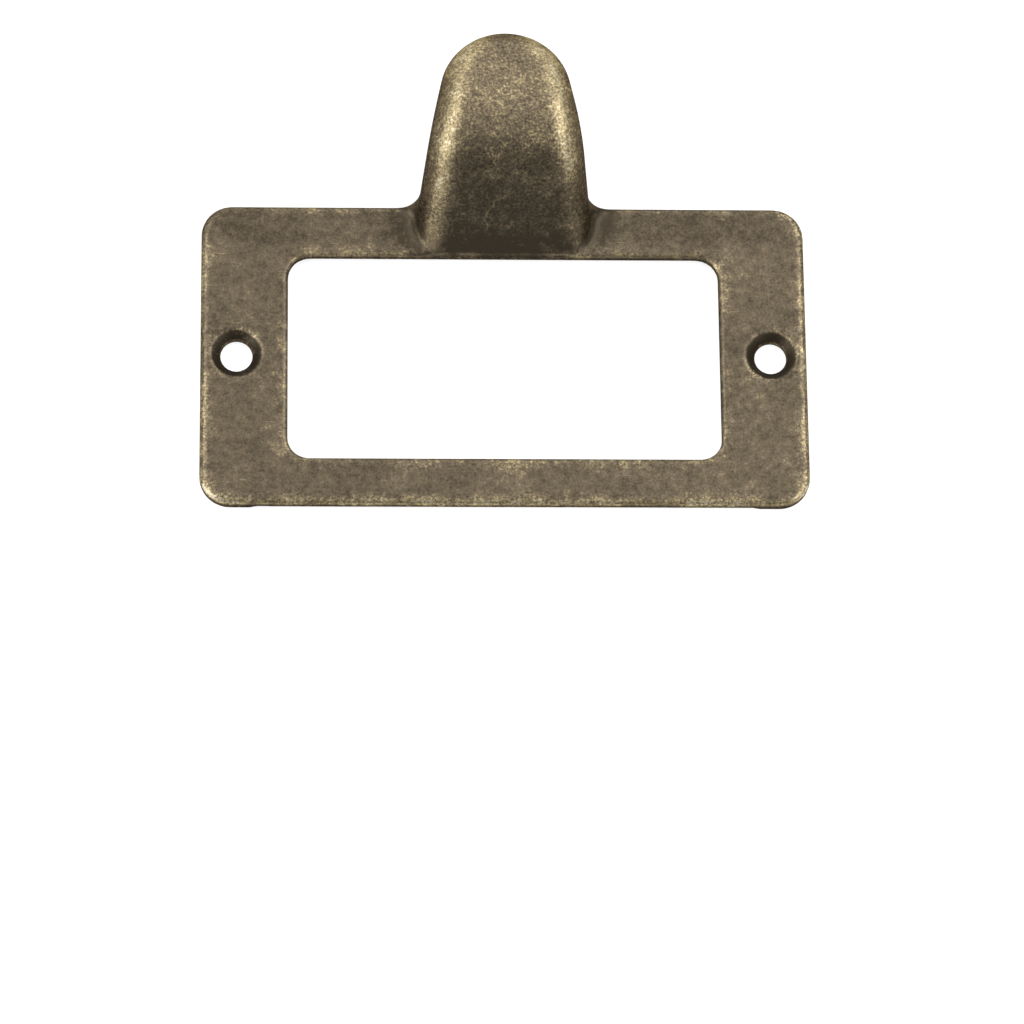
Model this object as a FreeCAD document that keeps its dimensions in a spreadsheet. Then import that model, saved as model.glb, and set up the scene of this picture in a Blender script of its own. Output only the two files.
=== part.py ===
"""Label frame pull: a cast frame that holds a drawer label, with a hood for the finger. Millimetres.

The casting lies on its flat back at Z = 0. +Z points out of the drawer front and +Y towards the hood.
The origin is on the back face, midway between the two screw holes.
"""

import FreeCAD, Part
import math
import os
import Sketcher
from FreeCAD import Vector

NODE = "label_frame_pull"
TOLERANCE = 1e-4
LEAST_RISE = 0.1

# Driving sizes, in millimetres and degrees
SIZES = {
    # window for the label, and the rails around it
    "window_width": 59.2,
    "window_height": 29.1,
    "window_corner": 3.0,
    "side_rail": 11.9,
    "upper_rail": 7.3,
    "lower_rail": 6.6,
    "plate_thickness": 2.3,
    "outer_corner": 4.2,
    "edge_rounding": 0.9,
    "rim_rounding": 0.5,
    # countersunk screw holes in the side rails
    "hole_inset": 4.9,
    "hole_bore": 4.4,
    "sink_diameter": 7.0,
    "sink_angle": 90.0,
    # card slot in the back, open at the lower edge
    "slot_depth": 0.5,
    "slot_lap": 2.7,
    "slot_land": 0.9,
    "slot_corner": 1.2,
    # outside of the hood
    "front_lip": 0.4,
    "front_angle": 56.0,
    "crown_height": 18.5,
    "crown_radius": 11.0,
    "top_droop": 8.0,
    "hood_reach": 20.8,
    "tip_radius": 9.0,
    "flank_taper": 11.7,
    "shoulder_radius": 4.2,
    "finger_radius": 9.5,
    "foot_land": 0.5,
    # hollow of the hood
    "hood_wall": 2.3,
    "hollow_land": 1.5,
    "hollow_corner": 3.0,
    # blends
    "root_radius": 1.3,
    "neck_radius": 4.3,
    "lip_rounding": 0.8,
}

# Places and lengths that follow from the driving sizes
PLACES = {
    "half_width": "sizes.window_width / 2 + sizes.side_rail",
    "half_height": "(sizes.window_height + sizes.upper_rail + sizes.lower_rail) / 2",
    "window_half": "sizes.window_width / 2",
    "window_above": "half_height - sizes.upper_rail",
    "window_below": "half_height - sizes.lower_rail",
    "hole_offset": "half_width - sizes.hole_inset",
    "slot_half": "hole_offset - sizes.hole_bore / 2 - sizes.slot_land",
    "slot_above": "window_above + sizes.slot_lap",
    "hollow_start": "slot_above + sizes.hollow_land",
    "hollow_tip": "sizes.tip_radius - sizes.hood_wall",
    "hollow_crown": "sizes.crown_radius - sizes.hood_wall",
    "hollow_bevel": "sizes.hood_wall / 2",
    "tip_centre": "half_height + sizes.hood_reach - sizes.tip_radius",
    "crown_centre": "sizes.crown_height - sizes.crown_radius",
    "front_above": "sizes.plate_thickness + sizes.front_lip",
    "hollow_front": "window_above + sizes.hood_wall * sin(sizes.front_angle)",
    "hollow_above": "front_above - sizes.hood_wall * cos(sizes.front_angle)",
    "hood_start": "window_above / 2",
    "foot": "half_height + sizes.neck_radius + sizes.lip_rounding + sizes.foot_land",
    "past_tip": "tip_centre + 2 * sizes.tip_radius",
    "past_crown": "2 * sizes.crown_height",
}


def fill_sheet(doc, name, cells):
    """A sheet with one aliased cell for each name."""
    sheet = doc.addObject("Spreadsheet::Sheet", name)
    for row, (alias, content) in enumerate(cells.items(), start=1):
        sheet.set("A%d" % row, alias)
        sheet.set("B%d" % row, content)
        sheet.setAlias("B%d" % row, alias)
    doc.recompute()
    return sheet


doc = FreeCAD.newDocument("label_frame_pull")
sizes = fill_sheet(doc, "sizes", {name: str(number) for name, number in SIZES.items()})
places = fill_sheet(doc, "places", {name: "=" + formula for name, formula in PLACES.items()})


def size(name):
    """A number from either sheet."""
    sheet = sizes if name in SIZES else places
    return float(sheet.get(name))


def cell(name):
    """The expression that reads a number from either sheet."""
    return ("sizes." if name in SIZES else "places.") + name


# Sketching

def new_sketch(body, name, role):
    """A sketch on one of the body's own origin planes."""
    plane = next(feature for feature in body.Origin.OriginFeatures if feature.Role == role)
    sketch = body.newObject("Sketcher::SketchObject", name)
    sketch.AttachmentSupport = [(plane, "")]
    sketch.MapMode = "FlatFace"
    return sketch


def line(x0, y0, x1, y1):
    return Part.LineSegment(Vector(x0, y0, 0), Vector(x1, y1, 0))


def arc(x, y, radius, start, end):
    """An arc that runs anticlockwise between two angles in degrees."""
    circle = Part.Circle(Vector(x, y, 0), Vector(0, 0, 1), radius)
    return Part.ArcOfCircle(circle, math.radians(start), math.radians(end))


def constrain(sketch, *constraints):
    for constraint in constraints:
        sketch.addConstraint(Sketcher.Constraint(*constraint))


def dimension(sketch, expression, *constraint):
    """A dimension that follows an expression."""
    index = sketch.addConstraint(Sketcher.Constraint(*constraint))
    sketch.setExpression("Constraints[%d]" % index, expression)


# The sketcher's own numbers for a line's points, the origin and the axes
START, END, CENTRE = range(1, 4)
ORIGIN = ACROSS_AXIS = -1
UP_AXIS = -2


def rounded_rectangle(sketch, half_width, above, below, radius):
    """A rectangle with round corners, centred across the origin. The sizes are names of cells."""
    right, top, bottom, corner = size(half_width), size(above), -size(below), size(radius)
    sketch.addGeometry([
        line(corner - right, bottom, right - corner, bottom),
        arc(right - corner, bottom + corner, corner, -90, 0),
        line(right, bottom + corner, right, top - corner),
        arc(right - corner, top - corner, corner, 0, 90),
        line(right - corner, top, corner - right, top),
        arc(corner - right, top - corner, corner, 90, 180),
        line(-right, top - corner, -right, bottom + corner),
        arc(corner - right, bottom + corner, corner, 180, 270),
    ])
    for side in range(8):
        constrain(sketch, ("Tangent", side, END, (side + 1) % 8, START))
    constrain(sketch, ("Vertical", 2), ("Horizontal", 4), ("Vertical", 6))
    constrain(sketch, ("Equal", 1, 3), ("Equal", 3, 5), ("Equal", 5, 7))
    constrain(sketch, ("Symmetric", 0, START, 0, END, UP_AXIS))
    dimension(sketch, cell(radius), "Radius", 1, corner)
    dimension(sketch, cell(half_width), "DistanceX", ORIGIN, START, 2, START, right)
    dimension(sketch, cell(above), "DistanceY", ORIGIN, START, 4, START, top)
    dimension(sketch, cell(below), "DistanceY", 0, START, ORIGIN, START, -bottom)


# Selecting edges

def face_normal(face, point):
    u, v = face.Surface.parameter(point)
    return face.normalAt(u, v)


def edge_points(edge):
    return edge.discretize(Number=5)


def edges_between(shape, first, second):
    """Numbers of the edges that part one kind of face from another, by the faces' normals."""
    found = []
    for number, edge in enumerate(shape.Edges, start=1):
        faces = shape.ancestorsOfType(edge, Part.Face)
        if len(faces) != 2:
            continue
        points = edge_points(edge)
        one, two = (face_normal(face, points[len(points) // 2]) for face in faces)
        if (first(one) and second(two)) or (first(two) and second(one)):
            found.append(number)
    return found


def faces_front(normal):
    return normal.z > 1 - TOLERANCE


def faces_sideways(normal):
    return abs(normal.z) < TOLERANCE


def slopes_up(normal):
    return normal.z > LEAST_RISE


def named(numbers):
    return ["Edge%d" % number for number in numbers]


# The plate, with its screw holes

def make_plate():
    body = doc.addObject("PartDesign::Body", "plate")
    outline = new_sketch(body, "plate_outline", "XY_Plane")
    rounded_rectangle(outline, "half_width", "half_height", "half_height", "outer_corner")
    pad = body.newObject("PartDesign::Pad", "plate_pad")
    pad.Profile = outline
    pad.setExpression("Length", cell("plate_thickness"))
    doc.recompute()

    centres = new_sketch(body, "hole_centres", "XY_Plane")
    centres.setExpression("AttachmentOffset.Base.z", cell("plate_thickness"))
    for index, side in enumerate((-1, 1)):
        place = Vector(side * size("hole_offset"), 0, 0)
        centres.addGeometry(Part.Circle(place, Vector(0, 0, 1), size("hole_bore") / 2))
        dimension(centres, cell("hole_bore"), "Diameter", index, size("hole_bore"))
    constrain(centres, ("Symmetric", 0, CENTRE, 1, CENTRE, ORIGIN, START))
    constrain(centres, ("PointOnObject", 1, CENTRE, ACROSS_AXIS))
    dimension(centres, cell("hole_offset"), "DistanceX", ORIGIN, START, 1, CENTRE, size("hole_offset"))
    doc.recompute()
    holes = body.newObject("PartDesign::Hole", "screw_holes")
    holes.Profile = centres
    holes.ThreadType = "None"
    holes.DepthType = "ThroughAll"
    holes.HoleCutType = "Countersink"
    holes.HoleCutCustomValues = True
    holes.setExpression("Diameter", cell("hole_bore"))
    holes.setExpression("HoleCutDiameter", cell("sink_diameter"))
    holes.setExpression("HoleCutCountersinkAngle", cell("sink_angle"))
    doc.recompute()

    rounding = body.newObject("PartDesign::Fillet", "edge_fillet")
    rounding.Base = (holes, named(edges_between(holes.Shape, faces_front, faces_sideways)))
    rounding.setExpression("Radius", cell("edge_rounding"))
    body.Tip = rounding
    doc.recompute()
    return body


# The hood and its hollow, which have the same form with the wall between them

def draw_tongue(sketch, start, tip_radius):
    """The form from the front: tapered flanks from a base line at a named place to a round tip."""
    base, centre, radius = size(start), size("tip_centre"), size(tip_radius)
    corner, taper = size("hollow_corner"), math.radians(size("flank_taper"))
    across, along = math.cos(taper), math.sin(taper)
    corner_x = (radius - corner - along * (base + corner - centre)) / across
    corner_y = base + corner
    tip_x, tip_y = radius * across, centre + radius * along
    side_x, side_y = corner_x + corner * across, corner_y + corner * along
    degrees = size("flank_taper")
    sketch.addGeometry([
        line(-corner_x, base, corner_x, base),
        arc(corner_x, corner_y, corner, -90, degrees),
        line(side_x, side_y, tip_x, tip_y),
        arc(0, centre, radius, degrees, 180 - degrees),
        line(-tip_x, tip_y, -side_x, side_y),
        arc(-corner_x, corner_y, corner, 180 - degrees, 270),
    ])
    for side in range(6):
        constrain(sketch, ("Tangent", side, END, (side + 1) % 6, START))
    constrain(sketch, ("Symmetric", 0, START, 0, END, UP_AXIS), ("PointOnObject", 3, CENTRE, UP_AXIS))
    constrain(sketch, ("Equal", 1, 5))
    dimension(sketch, cell(tip_radius), "Radius", 3, radius)
    dimension(sketch, cell("hollow_corner"), "Radius", 1, corner)
    dimension(sketch, "90 + " + cell("flank_taper"), "Angle", 2, math.pi / 2 + taper)
    dimension(sketch, cell("tip_centre"), "DistanceY", ORIGIN, START, 3, CENTRE, centre)
    dimension(sketch, cell(start), "DistanceY", ORIGIN, START, 0, START, base)


def draw_crown(sketch, crown_radius, front, above):
    """The form from the side: all that lies outside its front slope, crown and drooping top."""
    slope, droop = math.radians(size("front_angle")), math.radians(size("top_droop"))
    radius, centre_z = size(crown_radius), size("crown_centre")
    front_y, front_z = size(front), size(above)
    far, high, near = size("past_tip"), 2 * size("past_crown"), -size("half_height")
    # the crown's centre stands one radius behind the front slope
    centre_y = front_y + (centre_z - front_z) / math.tan(slope) + radius / math.sin(slope)
    front_end = (centre_y - radius * math.sin(slope), centre_z + radius * math.cos(slope))
    top_start = (centre_y + radius * math.sin(droop), centre_z + radius * math.cos(droop))
    near_z = front_z - (front_y - near) * math.tan(slope)
    far_z = top_start[1] - (far - top_start[0]) * math.tan(droop)
    sketch.addGeometry([
        line(near, near_z, *front_end),
        arc(centre_y, centre_z, radius, 90 - size("top_droop"), 90 + size("front_angle")),
        line(*top_start, far, far_z),
        line(far, far_z, far, high),
        line(far, high, near, high),
        line(near, high, near, near_z),
    ])
    point = sketch.addGeometry(Part.Point(Vector(front_y, front_z, 0)), True)
    constrain(
        sketch,
        ("Tangent", 0, END, 1, END), ("Tangent", 1, START, 2, START),
        ("Coincident", 2, END, 3, START), ("Coincident", 3, END, 4, START),
        ("Coincident", 4, END, 5, START), ("Coincident", 5, END, 0, START),
        ("Vertical", 3), ("Horizontal", 4), ("Vertical", 5), ("PointOnObject", point, START, 0),
    )
    dimension(sketch, cell(crown_radius), "Radius", 1, radius)
    dimension(sketch, cell("front_angle"), "Angle", 0, slope)
    dimension(sketch, "-" + cell("top_droop"), "Angle", 2, -droop)
    dimension(sketch, cell("crown_centre"), "DistanceY", ORIGIN, START, 1, CENTRE, centre_z)
    dimension(sketch, cell(front), "DistanceX", ORIGIN, START, point, START, front_y)
    dimension(sketch, cell(above), "DistanceY", ORIGIN, START, point, START, front_z)
    dimension(sketch, cell("past_tip"), "DistanceX", ORIGIN, START, 3, START, far)
    dimension(sketch, "2 * " + cell("past_crown"), "DistanceY", ORIGIN, START, 4, START, high)
    dimension(sketch, cell("half_height"), "DistanceX", 5, START, ORIGIN, START, -near)


def draw_finger_arch(sketch):
    """The arch under the hood, from its foot on the back plane round to the tip."""
    foot, radius = size("foot"), size("finger_radius")
    far, low = size("past_tip"), -size("plate_thickness")
    sketch.addGeometry([
        line(foot, low, foot, 0),
        arc(foot + radius, 0, radius, 90, 180),
        line(foot + radius, radius, far, radius),
        line(far, radius, far, low),
        line(far, low, foot, low),
    ])
    constrain(
        sketch,
        ("Tangent", 0, END, 1, END), ("Tangent", 1, START, 2, START),
        ("Coincident", 2, END, 3, START), ("Coincident", 3, END, 4, START),
        ("Coincident", 4, END, 0, START), ("PointOnObject", 1, CENTRE, ACROSS_AXIS),
        ("Vertical", 0), ("Horizontal", 2), ("Vertical", 3), ("Horizontal", 4),
    )
    dimension(sketch, cell("finger_radius"), "Radius", 1, radius)
    dimension(sketch, cell("foot"), "DistanceX", ORIGIN, START, 0, END, foot)
    dimension(sketch, cell("past_tip"), "DistanceX", ORIGIN, START, 3, START, far)
    dimension(sketch, cell("plate_thickness"), "DistanceY", 0, START, ORIGIN, START, -low)


def cut_from_the_side(body, name, sketch):
    """A pocket right through the form, both ways from its middle plane."""
    pocket = body.newObject("PartDesign::Pocket", name)
    pocket.Profile = sketch
    pocket.Type = "ThroughAll"
    pocket.SideType = "Symmetric"
    doc.recompute()
    return pocket


def soften_shoulders(body, kind, name, base, setting, amount):
    """The fillet or bevel where the form's front and top turn into its flanks and tip."""
    feature = body.newObject(kind, name)
    feature.Base = (base, named(edges_between(base.Shape, slopes_up, faces_sideways)))
    feature.setExpression(setting, cell(amount))
    body.Tip = feature
    doc.recompute()


def make_tongue(name, start, tip_radius):
    body = doc.addObject("PartDesign::Body", name)
    outline = new_sketch(body, name + "_outline", "XY_Plane")
    draw_tongue(outline, start, tip_radius)
    pad = body.newObject("PartDesign::Pad", name + "_pad")
    pad.Profile = outline
    pad.setExpression("Length", cell("past_crown"))
    doc.recompute()
    return body


def make_hood():
    body = make_tongue("hood", "hood_start", "tip_radius")
    arch = new_sketch(body, "finger_arch", "YZ_Plane")
    draw_finger_arch(arch)
    cut_from_the_side(body, "finger_cut", arch)
    crown = new_sketch(body, "hood_crown", "YZ_Plane")
    draw_crown(crown, "crown_radius", "window_above", "front_above")
    cut = cut_from_the_side(body, "hood_cut", crown)
    soften_shoulders(body, "PartDesign::Fillet", "hood_shoulder", cut, "Radius", "shoulder_radius")
    return body


def make_hollow():
    body = make_tongue("hollow", "hollow_start", "hollow_tip")
    crown = new_sketch(body, "hollow_crown", "YZ_Plane")
    draw_crown(crown, "hollow_crown", "hollow_front", "hollow_above")
    cut = cut_from_the_side(body, "hollow_cut", crown)
    soften_shoulders(body, "PartDesign::Chamfer", "hollow_shoulder", cut, "Size", "hollow_bevel")
    return body


# The space for the label: the window, and the card slot behind it

def draw_slot(sketch):
    """The slot's outline: round inner corners, and a mouth at the lower edge that flares open."""
    half, top, corner = size("slot_half"), size("slot_above"), size("slot_corner")
    edge = -size("half_height")
    past = edge - corner
    sketch.addGeometry([
        line(corner - half, top, half - corner, top),
        arc(half - corner, top - corner, corner, 0, 90),
        line(half, top - corner, half, edge + corner),
        arc(half + corner, edge + corner, corner, 180, 270),
        line(half + corner, edge, half + corner, past),
        line(half + corner, past, -half - corner, past),
        line(-half - corner, past, -half - corner, edge),
        arc(-half - corner, edge + corner, corner, 270, 360),
        line(-half, edge + corner, -half, top - corner),
        arc(corner - half, top - corner, corner, 90, 180),
    ])
    constrain(
        sketch,
        ("Tangent", 0, END, 1, END), ("Tangent", 1, START, 2, START), ("Tangent", 2, END, 3, START),
        ("Coincident", 3, END, 4, START), ("Coincident", 4, END, 5, START),
        ("Coincident", 5, END, 6, START), ("Coincident", 6, END, 7, START),
        ("Tangent", 7, END, 8, START), ("Tangent", 8, END, 9, END), ("Tangent", 9, START, 0, START),
        ("Vertical", 2), ("Vertical", 4), ("Horizontal", 5), ("Vertical", 6), ("Vertical", 8),
        ("Vertical", 3, CENTRE, 3, END), ("Vertical", 7, CENTRE, 7, START),
        ("Equal", 1, 3), ("Equal", 3, 7), ("Equal", 7, 9),
        ("Symmetric", 0, START, 0, END, UP_AXIS), ("Horizontal", 4, START, 6, END),
    )
    dimension(sketch, cell("slot_corner"), "Radius", 1, corner)
    dimension(sketch, cell("slot_half"), "DistanceX", ORIGIN, START, 2, START, half)
    dimension(sketch, cell("slot_above"), "DistanceY", ORIGIN, START, 0, START, top)
    dimension(sketch, cell("half_height"), "DistanceY", 4, START, ORIGIN, START, -edge)
    dimension(sketch, cell("slot_corner"), "DistanceY", 4, END, 4, START, corner)


def make_label_space():
    body = doc.addObject("PartDesign::Body", "label_space")
    outline = new_sketch(body, "window_outline", "XY_Plane")
    rounded_rectangle(outline, "window_half", "window_above", "window_below", "window_corner")
    window = body.newObject("PartDesign::Pad", "window")
    window.Profile = outline
    window.setExpression("Length", cell("crown_height"))
    slot_outline = new_sketch(body, "slot_outline", "XY_Plane")
    draw_slot(slot_outline)
    slot = body.newObject("PartDesign::Pad", "card_slot")
    slot.Profile = slot_outline
    slot.setExpression("Length", cell("slot_depth"))
    doc.recompute()
    return body


# Joining the forms into one casting

def join(kind, name, base, tool):
    result = doc.addObject(kind, name)
    result.Base = base
    result.Tool = tool
    result.Refine = True
    doc.recompute()
    return result


def fillet(name, base, edges):
    """A fillet with its own radius at each end of each edge."""
    result = doc.addObject("Part::Fillet", name)
    result.Base = base
    result.Edges = edges
    doc.recompute()
    return result


def on_both(point, one, two):
    """Whether a point lies on the skins of two bodies."""
    vertex = Part.Vertex(point)
    return all(body.Shape.Shells[0].distToShape(vertex)[0] < TOLERANCE for body in (one, two))


def root_edges(casting):
    """The line where the hood grows out of the plate: small on the face, wider at the plate's edge."""
    root, neck = size("root_radius"), size("neck_radius")
    face = size("plate_thickness") - TOLERANCE
    edges = []
    for number, edge in enumerate(casting.Shape.Edges, start=1):
        points = edge_points(edge)
        if not all(on_both(point, plate, hood) for point in points[1:-1]):
            continue
        ends = [root if point.z > face else neck for point in (points[0], points[-1])]
        edges.append((number, *ends))
    return edges


def lip_edges(rooted):
    """The outer edge of the hood's open rim, which follows the finger arch."""
    foot, radius = size("foot"), size("finger_radius")

    def on_arch(point):
        if point.y > foot + radius:
            return abs(point.z - radius) < TOLERANCE
        return abs(math.hypot(point.y - foot - radius, point.z) - radius) < TOLERANCE

    rounding = size("lip_rounding")
    edges = []
    for number, edge in enumerate(rooted.Shape.Edges, start=1):
        points = edge_points(edge)
        runs_across = max(point.y for point in points) - min(point.y for point in points) < TOLERANCE
        if all(on_arch(point) for point in points) and not runs_across:
            edges.append((number, rounding, rounding))
    return edges


def rim_edges(windowed):
    """The window's front rim, which climbs over the foot of the hood."""
    rounding = size("rim_rounding")
    face = size("plate_thickness") - TOLERANCE
    right, top, bottom = size("window_half"), size("window_above"), -size("window_below")
    edges = []
    for number, edge in enumerate(windowed.Shape.Edges, start=1):
        in_window = all(
            abs(point.x) < right + TOLERANCE and bottom - TOLERANCE < point.y < top + TOLERANCE
            for point in edge_points(edge)
        )
        if in_window and all(point.z > face for point in edge_points(edge)):
            edges.append((number, rounding, rounding))
    return edges


plate = make_plate()
hood = make_hood()
hollow = make_hollow()
label_space = make_label_space()

casting = join("Part::Fuse", "casting", plate, hood)
rooted = fillet("rooted", casting, root_edges(casting))
lipped = fillet("lipped", rooted, lip_edges(rooted))
hollowed = join("Part::Cut", "hollowed", lipped, hollow)
windowed = join("Part::Cut", "windowed", hollowed, label_space)
pull = fillet("pull", windowed, rim_edges(windowed))
pull.Label = NODE


# Checking and writing

def check(document, part):
    for thing in document.Objects:
        if "Invalid" in thing.State or "Error" in thing.State:
            raise RuntimeError("%s did not build" % thing.Label)
    if part.Shape.isNull() or not part.Shape.isValid():
        raise RuntimeError("%s has no valid shape" % part.Label)
    if len(part.Shape.Solids) != 1:
        raise RuntimeError("%s is not one solid" % part.Label)


check(doc, pull)
os.makedirs("parts", exist_ok=True)
pull.Shape.exportStep("parts/%s.step" % pull.Label)
box = pull.Shape.optimalBoundingBox()
extents = (box.XLength, box.YLength, box.ZLength)
print("%s: %.2f x %.2f x %.2f mm, %.0f mm3" % (NODE, *extents, pull.Shape.Volume))
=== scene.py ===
"""Label frame pull: the cast skin and antique finish of the pull, and the studio around it. Metres."""

import math

import bmesh
import bpy
import numpy as np
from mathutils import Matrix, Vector


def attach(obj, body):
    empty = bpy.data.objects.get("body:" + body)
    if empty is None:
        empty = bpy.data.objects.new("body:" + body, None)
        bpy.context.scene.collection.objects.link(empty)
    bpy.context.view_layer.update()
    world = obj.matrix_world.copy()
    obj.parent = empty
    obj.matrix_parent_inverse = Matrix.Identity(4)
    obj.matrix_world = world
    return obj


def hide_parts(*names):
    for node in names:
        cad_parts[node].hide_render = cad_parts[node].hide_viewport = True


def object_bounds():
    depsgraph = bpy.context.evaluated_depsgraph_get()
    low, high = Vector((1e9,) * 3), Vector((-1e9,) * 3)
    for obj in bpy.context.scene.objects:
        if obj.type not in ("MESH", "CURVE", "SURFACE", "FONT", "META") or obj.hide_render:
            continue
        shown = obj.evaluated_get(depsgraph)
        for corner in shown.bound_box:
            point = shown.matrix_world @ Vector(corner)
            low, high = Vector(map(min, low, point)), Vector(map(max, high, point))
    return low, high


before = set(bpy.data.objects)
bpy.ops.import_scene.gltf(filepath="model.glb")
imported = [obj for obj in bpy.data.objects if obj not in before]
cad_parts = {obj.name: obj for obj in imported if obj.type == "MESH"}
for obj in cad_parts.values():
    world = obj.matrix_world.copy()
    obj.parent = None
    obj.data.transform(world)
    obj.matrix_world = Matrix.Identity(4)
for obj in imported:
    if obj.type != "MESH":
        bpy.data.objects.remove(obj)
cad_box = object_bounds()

MM = 0.001
NODE = "label_frame_pull"
PIECE = "cast_pull"
SLOT = "antique_brass"

# Sizes of the pull that its wear and its painted shade follow. The long rails are taken at their mean.
FACE_HEIGHT = 2.3 * MM
SIDE_RAIL = 11.9 * MM
LONG_RAIL = 6.95 * MM
HOLE_INSET = 4.9 * MM
SINK_RADIUS = 3.5 * MM
HALF_WIDTH = cad_box[1][0]
HALF_HEIGHT = -cad_box[0][1]
WINDOW_HALF_WIDTH = HALF_WIDTH - SIDE_RAIL
WINDOW_HALF_HEIGHT = HALF_HEIGHT - LONG_RAIL
HOLE_OFFSET = HALF_WIDTH - HOLE_INSET


def add_object(name, data):
    thing = bpy.data.objects.new(name, data)
    bpy.context.scene.collection.objects.link(thing)
    return thing


def settle(thing):
    """The object's modifiers become part of its mesh."""
    depsgraph = bpy.context.evaluated_depsgraph_get()
    mesh = bpy.data.meshes.new_from_object(thing.evaluated_get(depsgraph), depsgraph=depsgraph)
    thing.modifiers.clear()
    old = thing.data
    thing.data = mesh
    bpy.data.meshes.remove(old)


class Net:
    """A node tree that is being built."""

    def __init__(self, tree):
        self.tree = tree

    def feed(self, socket, value):
        if isinstance(value, bpy.types.NodeSocket):
            self.tree.links.new(value, socket)
        else:
            socket.default_value = value

    def add(self, kind, inputs=None, **settings):
        node = self.tree.nodes.new(kind)
        for name, value in settings.items():
            setattr(node, name, value)
        for name, value in (inputs or {}).items():
            self.feed(node.inputs[name], value)
        return node

    def math(self, operation, *values):
        node = self.add("ShaderNodeMath", operation=operation)
        for socket, value in zip(node.inputs, values):
            self.feed(socket, value)
        return node.outputs[0]

    def parts(self, vector):
        return tuple(self.add("ShaderNodeSeparateXYZ", {"Vector": vector}).outputs)

    def product(self, first, *others):
        for value in others:
            first = self.math("MULTIPLY", first, value)
        return first

    def length(self, first, second):
        """Length of the line with these two legs."""
        return self.math("SQRT", self.weigh(self.product(first, first), (second, second)))

    def weigh(self, start, *terms):
        """A start value plus each value times its weight."""
        total = start
        for value, weight in terms:
            total = self.math("MULTIPLY_ADD", value, weight, total)
        return total

    def blend(self, start, weights, levels):
        """A start value plus each named level times its weight."""
        return self.weigh(start, *((levels[name], weight) for name, weight in weights.items()))

    def reverse(self, value):
        return self.weigh(1.0, (value, -1.0))

    def change(self, value, limits, levels):
        """A smooth change from one level to the other between two limits."""
        settings = {"Value": value, "From Min": limits[0], "From Max": limits[1],
                    "To Min": levels[0], "To Max": levels[1]}
        return self.add("ShaderNodeMapRange", settings, interpolation_type="SMOOTHSTEP").outputs["Result"]

    def rise(self, value, limits):
        return self.change(value, limits, (0.0, 1.0))

    def fall(self, value, limits):
        return self.change(value, limits, (1.0, 0.0))

    def noise(self, place, scale, detail, roughness):
        """Noise around zero."""
        settings = {"Vector": place, "Scale": scale, "Detail": detail, "Roughness": roughness}
        return self.math("SUBTRACT", self.add("ShaderNodeTexNoise", settings).outputs[0], 0.5)

    def ramp(self, value, stops):
        node = self.add("ShaderNodeValToRGB", {"Fac": value})
        elements = node.color_ramp.elements
        while len(elements) < len(stops):
            elements.new(1.0)
        for element, (level, colour) in zip(elements, stops):
            element.position = level
            element.color = colour
        return node.outputs["Color"]


# The casting

SKIN_PITCH = 0.3 * MM
MERGE_DISTANCE = 0.0005 * MM
SKIN_INPUTS = {"Wave Length": 7.0 * MM, "Wave Height": 0.03 * MM, "Seed": 4.0}

# Bend from one face of the skin to the next, in radians, where a mark begins and where it is full
EDGE_BEND = (0.03, 0.2)
RUB_BEND = (0.006, 0.07)
RECESS_BEND = (0.004, 0.07)
ROOT_BEND = (0.001, 0.02)
SHARP_BEND = (0.15, 0.5)

# How far a mark spreads, in faces of the skin
EDGE_SPREAD = 2
RUB_SPREAD = 26
RECESS_SPREAD = 7
ROOT_SPREAD = 60
SHARP_SPREAD = 1
FRONT_SPREAD = 8
SHOULDER_SPREAD = 24

# Rounds of smoothing that fill the inner corners and ease the sharp edges
RECESS_ROUNDS = 12
SHARP_ROUNDS = 5

# Places where a mark begins and where it is full
HOOD_FOOT = (1.05 * FACE_HEIGHT, 1.4 * FACE_HEIGHT)
HOOD_RISE = (FACE_HEIGHT, 3 * FACE_HEIGHT)
FRONT_RISE = (FACE_HEIGHT, 7 * FACE_HEIGHT)
WORN_AND_LIT_SHOULDER_RISE = (4.8 * FACE_HEIGHT, 6.5 * FACE_HEIGHT)
WINDOW_RIM = (0.6 * MM, 1.5 * MM)
SINK_RIM = (0.9 * SINK_RADIUS, SINK_RADIUS)
RAIL_BY_HOOD = (15 * MM, 17 * MM)

# Levels of the recess between which the seam at the hood's foot lies
SEAM_OUTSIDE = (0.03, 0.08)
SEAM_INSIDE = (0.08, 0.2)

# Shares of a face's normal: upward, forward and sideways
WALL_UPWARD = (0.1, 0.42)
LEVEL_UPWARD = (0.5, 0.8)
SEAM_UPWARD = (0.8, 0.95)
LOWER_EDGE_FORWARD = (0.1, 0.4)
LOWER_EDGE_TURNED_DOWN = (0.7, 0.95)
FRONT_FORWARD = (0.3, 0.95)
SHOULDER_SIDEWAYS = (0.1, 0.3)
FLANK_SIDEWAYS = (0.5, 0.8)
# How far a face turns left, for the painted highlight down the left shoulder
LEFT_SHOULDER_HIGHLIGHT = (-0.3, -0.1)

# Levels of the marks that don't run from nothing to full
LOWER_EDGE_LEVELS = (1.0, 0.4)
FRONT_LEVELS = (1.0, 0.7)
LEFT_SHOULDER_HIGHLIGHT_LEVELS = (0.8, 0.0)
WINDOW_EDGE = 0.3
WINDOW_RUB = 0.6

# A face turned aside counts less towards the painted shade of the front slope, and one turned right a little
# more
FRONT_LESS_SIDE = -0.9
FRONT_LEAN = 0.3


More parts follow.
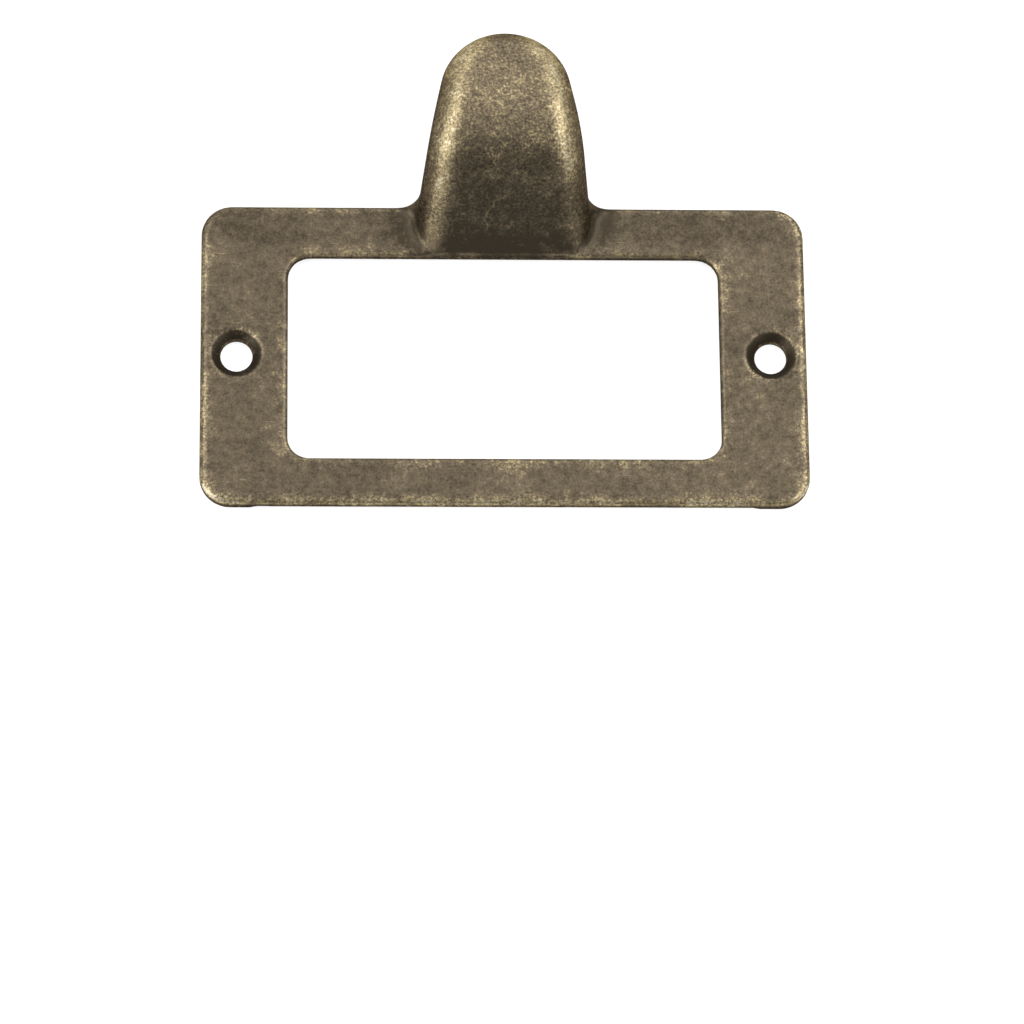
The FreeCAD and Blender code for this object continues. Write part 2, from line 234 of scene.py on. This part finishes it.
class Skin(Net):
    """The tree that makes the cast skin, with what it knows of each point of the surface."""

    def __init__(self, tree):
        super().__init__(tree)
        self.place = self.add("GeometryNodeInputPosition").outputs["Position"]
        self.normal = self.add("GeometryNodeInputNormal").outputs["Normal"]
        self.across, self.along, self.height = self.parts(self.place)
        self.rightward, backward, self.upward = self.parts(self.normal)
        self.sideways = self.math("ABSOLUTE", self.rightward)
        self.forward = self.math("MULTIPLY", backward, -1.0)
        bend = self.add("GeometryNodeInputMeshEdgeAngle").outputs["Signed Angle"]
        self.convex = self.math("MAXIMUM", bend, 0.0)
        self.concave = self.math("MAXIMUM", self.math("MULTIPLY", bend, -1.0), 0.0)
        self.recess = self.rise(self.spread(self.concave, RECESS_SPREAD), RECESS_BEND)
        self.near_root = self.rise(self.spread(self.concave, ROOT_SPREAD), ROOT_BEND)
        self.off_root = self.reverse(self.near_root)
        self.on_hood = self.rise(self.height, HOOD_FOOT)
        self.off_hood = self.reverse(self.on_hood)

    def spread(self, value, times):
        return self.add("GeometryNodeBlurAttribute", {"Value": value, "Iterations": times}).outputs[0]

    def beyond(self, value, limit):
        """How far a place lies outside a limit on either side of the middle."""
        return self.math("SUBTRACT", self.math("ABSOLUTE", value), limit)

    def frame_marks(self):
        """Edges, the rubbed strip beside them, the lower edges lightened partly as wear and partly as
        painted highlight, the countersinks and walls darkened as painted shade, and the rail beside the
        hood.
        """
        beyond_window = self.math("MAXIMUM", self.beyond(self.across, WINDOW_HALF_WIDTH),
                                  self.beyond(self.along, WINDOW_HALF_HEIGHT))
        off_window = self.rise(beyond_window, WINDOW_RIM)
        edge_level = self.weigh(WINDOW_EDGE, (off_window, 1.0 - WINDOW_EDGE))
        rub_level = self.weigh(WINDOW_RUB, (off_window, 1.0 - WINDOW_RUB))
        edge = self.rise(self.spread(self.convex, EDGE_SPREAD), EDGE_BEND)
        rub = self.rise(self.spread(self.convex, RUB_SPREAD), RUB_BEND)
        turned_down = self.change(self.forward, LOWER_EDGE_TURNED_DOWN, LOWER_EDGE_LEVELS)
        from_hole = self.length(self.along, self.beyond(self.across, HOLE_OFFSET))
        return {
            "edge": self.product(edge, edge_level, self.off_root),
            # Forward-facing lower edges lightened, partly as wear and partly as painted highlight.
            "lower_edge_wear_and_highlight": self.product(edge, self.rise(self.forward, LOWER_EDGE_FORWARD), turned_down,
                                       rub_level, self.off_hood, self.off_root),
            "rub": self.product(rub, rub_level),
            # The rail beside the hood: darker, with fewer rubbed patches.
            "rail_by_hood": self.product(self.rise(self.along, RAIL_BY_HOOD), self.off_hood),
            # Countersinks darkened as painted shade.
            "sink_shade": self.fall(from_hole, SINK_RIM),
            # Walls darkened as painted shade.
            "wall_shade": self.product(self.fall(self.upward, WALL_UPWARD), self.off_root),
        }

    def root_marks(self):
        """The inner corner around the hood, the face beside it darkened as painted shade, and the pale line
        at its foot.
        """
        return {
            "recess": self.product(self.recess, self.fall(self.upward, LEVEL_UPWARD)),
            # The level face beside the hood's foot, darkened as painted shade.
            "near_root": self.product(self.near_root, self.rise(self.upward, LEVEL_UPWARD)),
            "seam": self.product(self.rise(self.recess, SEAM_OUTSIDE), self.fall(self.recess, SEAM_INSIDE),
                                 self.rise(self.upward, SEAM_UPWARD)),
        }

    def hood_marks(self):
        """The hood, its front slope darkened as painted shade, its shoulders lightened partly as wear and
        partly as painted highlight, and its flanks darkened as painted shade.
        """
        # The front slope is darker the more a face turns forward: painted shade.
        slope = self.weigh(self.forward, (self.sideways, FRONT_LESS_SIDE), (self.rightward, FRONT_LEAN))
        front = self.product(self.rise(slope, FRONT_FORWARD), self.on_hood,
                             self.change(self.height, FRONT_RISE, FRONT_LEVELS))
        # The shoulders are lighter on top and down the left side, partly as wear and partly as painted
        # highlight.
        worn_and_lit_side = self.math("MAXIMUM", self.rise(self.height, WORN_AND_LIT_SHOULDER_RISE),
                              self.change(self.rightward, LEFT_SHOULDER_HIGHLIGHT, LEFT_SHOULDER_HIGHLIGHT_LEVELS))
        shoulder_wear_and_highlight = self.product(self.rise(self.sideways, SHOULDER_SIDEWAYS),
                                self.fall(self.sideways, FLANK_SIDEWAYS), worn_and_lit_side, self.on_hood)
        return {
            "hood": self.rise(self.height, HOOD_RISE),
            "front": self.spread(front, FRONT_SPREAD),
            "shoulder_wear_and_highlight": self.spread(shoulder_wear_and_highlight, SHOULDER_SPREAD),
            # Flanks darkened as painted shade.
            "flank_shade": self.product(self.rise(self.sideways, FLANK_SIDEWAYS), self.on_hood, self.off_root),
        }

    def store(self, geometry, marks):
        for name, value in marks.items():
            mark = {"Geometry": geometry, "Name": name, "Value": value}
            geometry = self.add("GeometryNodeStoreNamedAttribute", mark).outputs[0]
        return geometry

    def smooth(self, geometry, weight, rounds):
        """Draws points towards their neighbours, where the weight asks for it."""
        smoothing = {"Iterations": rounds, "Weight": weight}
        node = self.add("GeometryNodeBlurAttribute", smoothing, data_type="FLOAT_VECTOR")
        self.feed(next(socket for socket in node.inputs if socket.type == "VECTOR"), self.place)
        smoothed = next(socket for socket in node.outputs if socket.type == "VECTOR")
        return self.add("GeometryNodeSetPosition", {"Geometry": geometry, "Position": smoothed}).outputs[0]

    def ripple(self, geometry, wave_length, wave_height, seed):
        """Waviness of a cast surface."""
        settings = {"Vector": self.place, "W": seed, "Scale": self.math("DIVIDE", 1.0, wave_length)}
        wave = self.add("ShaderNodeTexNoise", settings, noise_dimensions="4D").outputs[0]
        lift = self.math("MULTIPLY", self.math("SUBTRACT", wave, 0.5), wave_height)
        outward = {"Vector": self.normal, "Scale": lift}
        offset = self.add("ShaderNodeVectorMath", outward, operation="SCALE").outputs[0]
        return self.add("GeometryNodeSetPosition", {"Geometry": geometry, "Offset": offset}).outputs[0]


def make_skin_tree():
    """The tree of the cast skin, and the names of the marks that it leaves for the finish."""
    tree = bpy.data.node_groups.new("cast_skin", "GeometryNodeTree")
    interface = tree.interface
    interface.new_socket("Geometry", in_out="INPUT", socket_type="NodeSocketGeometry")
    for name in SKIN_INPUTS:
        interface.new_socket(name, in_out="INPUT", socket_type="NodeSocketFloat")
    interface.new_socket("Material", in_out="INPUT", socket_type="NodeSocketMaterial")
    interface.new_socket("Geometry", in_out="OUTPUT", socket_type="NodeSocketGeometry")

    skin = Skin(tree)
    given = skin.add("NodeGroupInput").outputs
    marks = {**skin.frame_marks(), **skin.root_marks(), **skin.hood_marks()}
    sharp = skin.rise(skin.spread(skin.convex, SHARP_SPREAD), SHARP_BEND)
    geometry = skin.store(given["Geometry"], marks)
    geometry = skin.smooth(geometry, skin.recess, RECESS_ROUNDS)
    geometry = skin.smooth(geometry, sharp, SHARP_ROUNDS)
    geometry = skin.ripple(geometry, *(given[name] for name in SKIN_INPUTS))
    geometry = skin.add("GeometryNodeRealizeInstances", {"Geometry": geometry}).outputs[0]
    dressed = {"Geometry": geometry, "Material": given["Material"]}
    geometry = skin.add("GeometryNodeSetMaterial", dressed).outputs[0]
    skin.add("NodeGroupOutput", {"Geometry": geometry})
    return tree, tuple(marks)


def copy_solid():
    """A copy of the solid with an even net of faces."""
    solid = bmesh.new()
    solid.from_mesh(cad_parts[NODE].data)
    bmesh.ops.remove_doubles(solid, verts=solid.verts, dist=MERGE_DISTANCE)
    mesh = bpy.data.meshes.new(PIECE)
    solid.to_mesh(mesh)
    solid.free()
    casting = add_object(PIECE, mesh)
    casting.data.materials.clear()
    even = casting.modifiers.new("even_net", "REMESH")
    even.mode = "VOXEL"
    even.voxel_size = SKIN_PITCH
    even.use_smooth_shade = True
    settle(casting)
    return casting


def keep_inside(mesh, box):
    places = np.empty(len(mesh.vertices) * 3, np.float32)
    mesh.vertices.foreach_get("co", places)
    low, high = (np.array(corner, np.float32) for corner in box)
    places = np.clip(places.reshape(-1, 3), low, high)
    mesh.vertices.foreach_set("co", places.ravel())
    mesh.update()


def make_casting():
    """The pull with its cast skin and its finish."""
    casting = copy_solid()
    tree, marks = make_skin_tree()
    skin = casting.modifiers.new("cast_skin", "NODES")
    skin.node_group = tree
    chosen = {**SKIN_INPUTS, "Material": make_finish(marks)}
    for item in tree.interface.items_tree:
        if item.in_out == "INPUT" and item.name in chosen:
            skin[item.identifier] = chosen[item.name]
    settle(casting)
    keep_inside(casting.data, cad_box)
    return casting


# The antique finish, from dark brown to brass rubbed bright, with painted shade and painted highlight mixed
# in

BROWNED = (0.052, 0.041, 0.027, 1.0)
TAUPE = (0.168, 0.134, 0.088, 1.0)
BRASS = (0.36, 0.29, 0.15, 1.0)
BRIGHT = (0.64, 0.57, 0.44, 1.0)
FINISH_STEPS = ((0.0, BROWNED), (0.38, TAUPE), (0.62, BRASS), (0.95, BRIGHT))
GRAZING = (0.22, 0.19, 0.14, 1.0)
COAT_WEIGHT = 0.08
COAT_ROUGHNESS = 0.35

# Patterns: scale for each millimetre, detail and roughness
BLOTCH = (0.2, 3.0, 0.6)
MOTTLE = (0.9, 4.0, 0.65)
GRAIN = (3.0, 3.0, 0.7)
STREAK = (1.0, 1.0, 0.5)
STREAK_TURN = 0.7
STREAK_STRETCH = (0.3, 4.0, 1.0)
STREAK_LIMITS = (0.22, 0.28)

# Rubbed patches beside the frame's edges
RUB_LOST_ON_HOOD = -0.9
PATCH_WEIGHTS = {"beside_edge": 0.6, "rail_by_hood": -0.35, "blotch": 2.6, "mottle": 1.6}
PATCH_LIMITS = (0.05, 0.9)
EDGE_WEAR = 0.6
EDGE_GRAIN = 3.0

# How worn the finish is on the frame's face, and what each mark and pattern adds to that. The front slope,
# walls, flanks, countersinks and the face beside the hood's foot are darkened as painted shade; the
# shoulders and lower edges are lightened partly as wear and partly as painted highlight.
FACE_WEAR = 0.18
WEAR_AND_LIGHT_WEIGHTS = {
    "hood": 0.135, "front": -0.34, "flank_shade": -0.06, "wall_shade": -0.18, "recess": 0.15, "near_root": -0.15,
    "sink_shade": -0.22, "shoulder_wear_and_highlight": 0.34, "patch": 0.13, "worn_edge": 0.38, "lower_edge_wear_and_highlight": 0.4, "rail_by_hood": -0.06,
    "seam": 0.14, "scratch": 0.36, "blotch": 0.35, "mottle": 0.5, "streak": 0.18,
}
FACE_GRAIN = 0.65
GRAIN_WEIGHTS = {"patch": 0.85, "hood": 1.0, "front": -0.8}
FACE_ROUGHNESS = 0.5
ROUGHNESS_WEIGHTS = {"wear_and_painted_light": -0.12, "grain": 0.3}
PIT_WEIGHTS = {"grain": 0.7, "mottle": 0.3}
PIT_DEPTH = 0.065 * MM
FACE_PITS = 0.5

# The curved scratch on the hood's front slope, in millimetres as the camera sees it
SCRATCH_ACROSS = 0.57
SCRATCH_ALONG = 18.83
SCRATCH_RADIUS = 3.2
SCRATCH_WAVER = 2.4
SCRATCH_EDGE = (0.06, 0.26)
SCRATCH_END = (1.2, 2.4)
SCRATCH_SIDE = (-0.9, 0.43)
SCRATCH_GRAIN = (-0.2, 0.05)
SEEN_ALONG = 0.956
SEEN_HEIGHT = 0.295


def make_scratch(net, place, waver):
    across, along, height = net.parts(place)
    across = net.math("SUBTRACT", across, SCRATCH_ACROSS)
    along = net.weigh(-SCRATCH_ALONG, (along, SEEN_ALONG), (height, SEEN_HEIGHT))
    reach = net.length(across, along)
    off_arc = net.math("ABSOLUTE", net.weigh(-SCRATCH_RADIUS, (reach, 1.0), (waver, SCRATCH_WAVER)))
    leftward = net.weigh(0.0, *zip((across, along), SCRATCH_SIDE))
    return net.product(net.fall(off_arc, SCRATCH_EDGE), net.rise(leftward, SCRATCH_END))


def make_patterns(net, place):
    streaks = {"Vector": place, "Rotation": (0.0, 0.0, STREAK_TURN), "Scale": STREAK_STRETCH}
    streak_place = net.add("ShaderNodeMapping", streaks).outputs[0]
    return {
        "blotch": net.noise(place, *BLOTCH),
        "mottle": net.noise(place, *MOTTLE),
        "grain": net.noise(place, *GRAIN),
        "streak": net.rise(net.noise(streak_place, *STREAK), STREAK_LIMITS),
    }


def make_wear_and_painted_light(net, place, levels):
    """Lighter in the inner corners and rubbed on edges and beside them; painted shade darkens the front
    slope, the walls, the flanks, the countersinks and the face beside the hood's foot, and painted highlight
    adds to the wear on the shoulders and lower edges.
    """
    grain = levels["grain"]
    off_hood = net.weigh(1.0, (levels["hood"], RUB_LOST_ON_HOOD))
    levels["beside_edge"] = net.product(levels["rub"], off_hood)
    levels["patch"] = net.rise(net.blend(0.0, PATCH_WEIGHTS, levels), PATCH_LIMITS)
    levels["worn_edge"] = net.product(levels["edge"], net.weigh(EDGE_WEAR, (grain, EDGE_GRAIN)))
    levels["scratch"] = net.product(make_scratch(net, place, levels["mottle"]), levels["front"],
                                    net.rise(grain, SCRATCH_GRAIN))
    grain_depth = net.blend(FACE_GRAIN, GRAIN_WEIGHTS, levels)
    return net.weigh(net.blend(FACE_WEAR, WEAR_AND_LIGHT_WEIGHTS, levels), (grain, grain_depth))


def make_finish(marks):
    finish = bpy.data.materials.new(SLOT)
    finish.use_nodes = True
    net = Net(finish.node_tree)
    shader = finish.node_tree.nodes["Principled BSDF"].inputs
    place = net.add("ShaderNodeTexCoord").outputs["Object"]
    place = net.add("ShaderNodeMapping", {"Vector": place, "Scale": (1 / MM,) * 3}).outputs[0]
    levels = make_patterns(net, place)
    for name in marks:
        levels[name] = net.add("ShaderNodeAttribute", attribute_name=name).outputs["Fac"]
    levels["wear_and_painted_light"] = make_wear_and_painted_light(net, place, levels)
    pits = net.product(net.blend(0.0, PIT_WEIGHTS, levels),
                       net.weigh(FACE_PITS, (levels["hood"], 1.0 - FACE_PITS)))
    pitted = {"Height": pits, "Strength": 1.0, "Distance": PIT_DEPTH}
    bump = net.add("ShaderNodeBump", pitted).outputs[0]

    # The colour follows the wear together with the painted shade and highlight.
    net.feed(shader["Base Color"], net.ramp(levels["wear_and_painted_light"], FINISH_STEPS))
    net.feed(shader["Roughness"], net.blend(FACE_ROUGHNESS, ROUGHNESS_WEIGHTS, levels))
    net.feed(shader["Metallic"], 1.0)
    net.feed(shader["Specular Tint"], GRAZING)
    net.feed(shader["Normal"], bump)
    net.feed(shader["Coat Weight"], COAT_WEIGHT)
    net.feed(shader["Coat Roughness"], COAT_ROUGHNESS)
    net.feed(shader["Coat Normal"], bump)
    return finish


# The studio

WHITE = (1.0, 1.0, 1.0, 1.0)
PAPER = (0.35, 0.35, 0.35, 1.0)
PAPER_GLOW = 0.78
FLOOR_RADIUS = 5.0
FLOOR_SIDES = 96
FLOOR_DROP = 0.05 * MM

# Light of the room, from in front of the pull to behind it
ROOM_SPAN = (-1.1, 1.2)
ROOM_LIGHT = (0.26, 0.72)

# Azimuth from +X towards +Y and elevation in degrees, width, height, radiance
LAMP_DISTANCE = 1.0
LAMPS = {
    "left_softbox": (160, 55, 1.2, 0.42, 4.2),
    "left_front_softbox": (205, 20, 0.5, 0.6, 3.6),
    "back_softbox": (90, 26, 1.0, 0.35, 1.8),
    "right_softbox": (15, 55, 1.2, 0.42, 5.0),
    "right_front_softbox": (318, 38, 0.35, 0.4, 2.5),
}

# Camera fitted to the photograph: place, turn in degrees, and lens and sensor in millimetres
CAMERA_PLACE = (-28.077 * MM, -207.231 * MM, 600.577 * MM)
CAMERA_TURN = (17.1598, -2.5757, -0.6028)
CAMERA_LENS = 162.95
SENSOR_WIDTH = 36.0
CAMERA_REACH = (0.01, 20.0)


def make_paper():
    """White to the eye and in the metal, and darker in its own light so that it takes a shadow."""
    paper = bpy.data.materials.new("paper")
    paper.use_nodes = True
    net = Net(paper.node_tree)
    shader = paper.node_tree.nodes["Principled BSDF"].inputs
    path = net.add("ShaderNodeLightPath").outputs
    seen = net.math("MAXIMUM", path["Is Camera Ray"], path["Is Glossy Ray"])
    seen = net.math("MAXIMUM", seen, path["Is Transmission Ray"])
    net.feed(shader["Base Color"], PAPER)
    net.feed(shader["Roughness"], 1.0)
    net.feed(shader["Specular IOR Level"], 0.0)
    net.feed(shader["Emission Color"], WHITE)
    net.feed(shader["Emission Strength"], net.math("MULTIPLY", seen, PAPER_GLOW))
    return paper


def make_floor():
    mesh = bpy.data.meshes.new("floor")
    sheet = bmesh.new()
    bmesh.ops.create_circle(sheet, cap_ends=True, segments=FLOOR_SIDES, radius=FLOOR_RADIUS)
    bmesh.ops.translate(sheet, verts=sheet.verts, vec=(0, 0, -FLOOR_DROP))
    sheet.to_mesh(mesh)
    sheet.free()
    mesh.materials.append(make_paper())
    add_object("floor", mesh)


def make_world():
    """Soft light all round, brighter behind the pull than in front of it."""
    world = bpy.data.worlds.new("studio")
    bpy.context.scene.world = world
    world.use_nodes = True
    net = Net(world.node_tree)
    background = world.node_tree.nodes["Background"].inputs
    backward = net.parts(net.add("ShaderNodeTexCoord").outputs["Generated"])[1]
    net.feed(background["Color"], WHITE)
    net.feed(background["Strength"], net.change(backward, ROOM_SPAN, ROOM_LIGHT))


def add_softbox(name, azimuth, elevation, width, height, radiance):
    """A lamp that faces the pull."""
    lamp = bpy.data.lights.new(name, "AREA")
    lamp.shape = "RECTANGLE"
    lamp.size = width
    lamp.size_y = height
    lamp.energy = radiance * math.pi * width * height
    thing = add_object(name, lamp)
    turn, rise = math.radians(azimuth), math.radians(elevation)
    away = Vector((math.cos(turn) * math.cos(rise), math.sin(turn) * math.cos(rise), math.sin(rise)))
    thing.location = away * LAMP_DISTANCE
    thing.rotation_euler = away.to_track_quat("Z", "Y").to_euler()


def make_camera():
    camera = bpy.data.cameras.new("camera")
    camera.sensor_width = SENSOR_WIDTH
    camera.lens = CAMERA_LENS
    camera.clip_start, camera.clip_end = CAMERA_REACH
    thing = add_object("camera", camera)
    thing.location = CAMERA_PLACE
    thing.rotation_euler = [math.radians(angle) for angle in CAMERA_TURN]
    bpy.context.scene.camera = thing


casting = make_casting()
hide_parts(NODE)
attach(casting, "root")

make_floor()
make_world()
for name, settings in LAMPS.items():
    add_softbox(name, *settings)
make_camera()
bpy.context.scene.view_settings.view_transform = "Standard"
